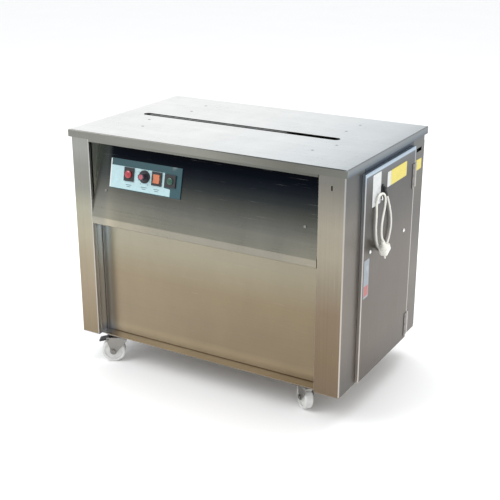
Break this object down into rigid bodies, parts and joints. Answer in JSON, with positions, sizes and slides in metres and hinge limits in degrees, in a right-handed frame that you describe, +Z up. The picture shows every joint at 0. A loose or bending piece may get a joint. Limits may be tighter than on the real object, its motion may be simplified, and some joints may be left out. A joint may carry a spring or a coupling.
{
  "type": "semi automatic strapping machine",
  "caption": "Stainless steel table-top strapping machine on casters, with a slotted work table, sloping control panel, hinged side door, inner strapping head and strap reel.",
  "frame": {"origin": "on the floor, under the middle of the machine", "axes": "+X towards the machine's right side, the side with the door; +Y towards its back; +Z up"},
  "size_m": [0.9454, 0.566, 0.745],
  "materials": {
    "stainless": "brushed stainless sheet",
    "galvanised": "galvanised sheet",
    "fixings": "bright plated",
    "dark_hinge": "plain steel, darkened",
    "plate_teal": "printed film, satin",
    "switch_black": "moulded black",
    "button_red": "gloss",
    "button_green": "gloss",
    "knob_red": "gloss",
    "rocker_orange": "translucent gloss",
    "lead_white": "soft satin",
    "steel": "ground steel",
    "head_cast": "painted casting",
    "motor_paint": "blue enamel",
    "pulley_alu": "turned",
    "belt_rubber": "matt",
    "box_grey": "light grey powder coat",
    "heater_brass": "heat stained",
    "reel_plastic": "moulded",
    "caster_zinc": "zinc plated",
    "wheel_white": "white nylon",
    "pedal_black": "black"
  },
  "bodies": {
    "cabinet": {"base_pan": "galvanised", "base_rails": "galvanised", "front_left_post": "stainless", "front_right_post": "stainless", "rear_left_post": "stainless", "rear_right_post": "stainless", "top_rails": "galvanised", "table_top": "stainless", "strap_channel": "galvanised", "control_panel": "stainless", "lower_front_panel": "stainless", "left_side_panel": "stainless", "rear_panel": "stainless", "screws": "fixings", "control_plate": "plate_teal", "switch_bodies": "switch_black", "reel_brackets": "galvanised", "reel_spindle": "steel", "head_beams": "galvanised", "head_frame": "head_cast", "drive_motor": "motor_paint", "gearbox": "motor_paint", "drive_belt": "belt_rubber", "electrical_box": "box_grey", "caster_plates": "galvanised", "hinge_post_leaves": "dark_hinge"},
    "door": {"door_panel": "stainless", "hinge_door_leaves": "dark_hinge", "door_fittings": "fixings", "cord_outlet": "switch_black", "power_cord": "lead_white", "plug": "lead_white"},
    "red_button_body": {"red_button": "button_red"},
    "length_knob_body": {"length_knob": "knob_red"},
    "power_rocker_body": {"power_rocker": "rocker_orange"},
    "green_button_body": {"green_button": "button_green"},
    "camshaft_body": {"camshaft": "steel"},
    "motor_pulley_body": {"motor_pulley": "pulley_alu"},
    "gearbox_pulley_body": {"gearbox_pulley": "pulley_alu"},
    "left_gripper_body": {"left_gripper": "steel"},
    "right_gripper_body": {"right_gripper": "steel"},
    "cutter_press_body": {"cutter_press": "steel"},
    "heater_blade_body": {"heater_blade": "heater_brass"},
    "slide_plate_body": {"slide_plate": "steel"},
    "feed_roller_body": {"feed_roller": "belt_rubber"},
    "pinch_arm_body": {"pinch_arm": "steel"},
    "pinch_roller_body": {"pinch_roller": "belt_rubber"},
    "reel_brake_body": {"reel_brake": "steel"},
    "reel_body": {"reel": "reel_plastic", "reel_front_flange": "reel_plastic"},
    "caster_front_left": {"caster_fork_front_left": "caster_zinc"},
    "wheel_front_left": {"caster_wheel_front_left": "wheel_white"},
    "pedal_front_left": {"caster_pedal_front_left": "pedal_black"},
    "caster_front_right": {"caster_fork_front_right": "caster_zinc"},
    "wheel_front_right": {"caster_wheel_front_right": "wheel_white"},
    "pedal_front_right": {"caster_pedal_front_right": "pedal_black"},
    "caster_rear_left": {"caster_fork_rear_left": "caster_zinc"},
    "wheel_rear_left": {"caster_wheel_rear_left": "wheel_white"},
    "caster_rear_right": {"caster_fork_rear_right": "caster_zinc"},
    "wheel_rear_right": {"caster_wheel_rear_right": "wheel_white"}
  },
  "joints": [
    {"name": "door_swing", "type": "hinge", "parent": "cabinet", "child": "door", "pos_m": [0.451, 0.187, 0.404], "axis": [0, 0, 1], "range_deg": [0, 120]},
    {"name": "red_button_push", "type": "slide", "parent": "cabinet", "child": "red_button_body", "axis": [0, 0.9775, -0.211], "range_m": [0, 0.004], "stiffness_N_per_m": 300, "springref_m": -0.003},
    {"name": "green_button_push", "type": "slide", "parent": "cabinet", "child": "green_button_body", "axis": [0, 0.9775, -0.211], "range_m": [0, 0.004], "stiffness_N_per_m": 300, "springref_m": -0.003},
    {"name": "length_knob_turn", "type": "hinge", "parent": "cabinet", "child": "length_knob_body", "pos_m": [-0.203, -0.2566, 0.62789], "axis": [0, -0.9775, 0.211], "range_deg": [-150, 150]},
    {"name": "power_rocker_tip", "type": "hinge", "parent": "cabinet", "child": "power_rocker_body", "pos_m": [-0.159, -0.24976, 0.62641], "axis": [1, 0, 0], "range_deg": [-9, 9]},
    {"name": "gearbox_pulley_spin", "type": "hinge", "parent": "cabinet", "child": "gearbox_pulley_body", "pos_m": [0.064, -0.068, 0.642], "axis": [0, 1, 0], "continuous": true},
    {"name": "motor_pulley_spin", "type": "hinge", "parent": "cabinet", "child": "motor_pulley_body", "pos_m": [-0.131, -0.068, 0.609], "axis": [0, 1, 0], "continuous": true},
    {"name": "camshaft_spin", "type": "hinge", "parent": "cabinet", "child": "camshaft_body", "pos_m": [0.214, 0, 0.61], "axis": [1, 0, 0], "continuous": true},
    {"name": "left_gripper_lift", "type": "slide", "parent": "cabinet", "child": "left_gripper_body", "axis": [0, 0, 1], "range_m": [0, 0.005]},
    {"name": "right_gripper_lift", "type": "slide", "parent": "cabinet", "child": "right_gripper_body", "axis": [0, 0, 1], "range_m": [0, 0.005]},
    {"name": "cutter_press_lift", "type": "slide", "parent": "cabinet", "child": "cutter_press_body", "axis": [0, 0, 1], "range_m": [0, 0.005]},
    {"name": "heater_blade_slide", "type": "slide", "parent": "cabinet", "child": "heater_blade_body", "axis": [0, -1, 0], "range_m": [0, 0.03]},
    {"name": "slide_plate_slide", "type": "slide", "parent": "cabinet", "child": "slide_plate_body", "axis": [0, 1, 0], "range_m": [0, 0.02]},
    {"name": "feed_roller_spin", "type": "hinge", "parent": "cabinet", "child": "feed_roller_body", "pos_m": [0.349, 0, 0.64], "axis": [0, 1, 0], "continuous": true},
    {"name": "pinch_arm_lift", "type": "hinge", "parent": "cabinet", "child": "pinch_arm_body", "pos_m": [0.323, 0, 0.7066], "axis": [0, -1, 0], "range_deg": [0, 8]},
    {"name": "pinch_roller_spin", "type": "hinge", "parent": "pinch_arm_body", "child": "pinch_roller_body", "pos_m": [0.349, 0, 0.6866], "axis": [0, 1, 0], "continuous": true},
    {"name": "reel_spin", "type": "hinge", "parent": "cabinet", "child": "reel_body", "pos_m": [0.235, 0, 0.298], "axis": [0, 1, 0], "continuous": true},
    {"name": "reel_brake_press", "type": "hinge", "parent": "cabinet", "child": "reel_brake_body", "pos_m": [0.135, 0.1, 0.138], "axis": [0, 1, 0], "range_deg": [0, 2.5]},
    {"name": "caster_swivel_front_left", "type": "hinge", "parent": "cabinet", "child": "caster_front_left", "pos_m": [-0.329, -0.229, 0.082], "axis": [0, 0, 1], "continuous": true},
    {"name": "caster_roll_front_left", "type": "hinge", "parent": "caster_front_left", "child": "wheel_front_left", "pos_m": [-0.35325, -0.243, 0.0375], "axis": [0.5, -0.866, 0], "continuous": true},
    {"name": "caster_brake_front_left", "type": "hinge", "parent": "caster_front_left", "child": "pedal_front_left", "pos_m": [-0.36624, -0.2505, 0.0785], "axis": [0.5, -0.866, 0], "range_deg": [0, 18]},
    {"name": "caster_swivel_front_right", "type": "hinge", "parent": "cabinet", "child": "caster_front_right", "pos_m": [0.329, -0.229, 0.082], "axis": [0, 0, 1], "continuous": true},
    {"name": "caster_roll_front_right", "type": "hinge", "parent": "caster_front_right", "child": "wheel_front_right", "pos_m": [0.30819, -0.21026, 0.0375], "axis": [-0.6691, -0.7431, 0], "continuous": true},
    {"name": "caster_brake_front_right", "type": "hinge", "parent": "caster_front_right", "child": "pedal_front_right", "pos_m": [0.29705, -0.20023, 0.0785], "axis": [-0.6691, -0.7431, 0], "range_deg": [0, 18]},
    {"name": "caster_swivel_rear_left", "type": "hinge", "parent": "cabinet", "child": "caster_rear_left", "pos_m": [-0.329, 0.229, 0.082], "axis": [0, 0, 1], "continuous": true},
    {"name": "caster_roll_rear_left", "type": "hinge", "parent": "caster_rear_left", "child": "wheel_rear_left", "pos_m": [-0.35531, 0.23858, 0.0375], "axis": [-0.342, -0.9397, 0], "continuous": true},
    {"name": "caster_swivel_rear_right", "type": "hinge", "parent": "cabinet", "child": "caster_rear_right", "pos_m": [0.329, 0.229, 0.082], "axis": [0, 0, 1], "continuous": true},
    {"name": "caster_roll_rear_right", "type": "hinge", "parent": "caster_rear_right", "child": "wheel_rear_right", "pos_m": [0.30362, 0.21717, 0.0375], "axis": [0.4226, -0.9063, 0], "continuous": true}
  ],
  "couplings": [
    {"joint": "motor_pulley_spin", "follows": "gearbox_pulley_spin", "ratio": 2.1905},
    {"joint": "camshaft_spin", "follows": "gearbox_pulley_spin", "ratio": 0.05},
    {"joint": "pinch_roller_spin", "follows": "feed_roller_spin", "ratio": -1.5556}
  ]
}
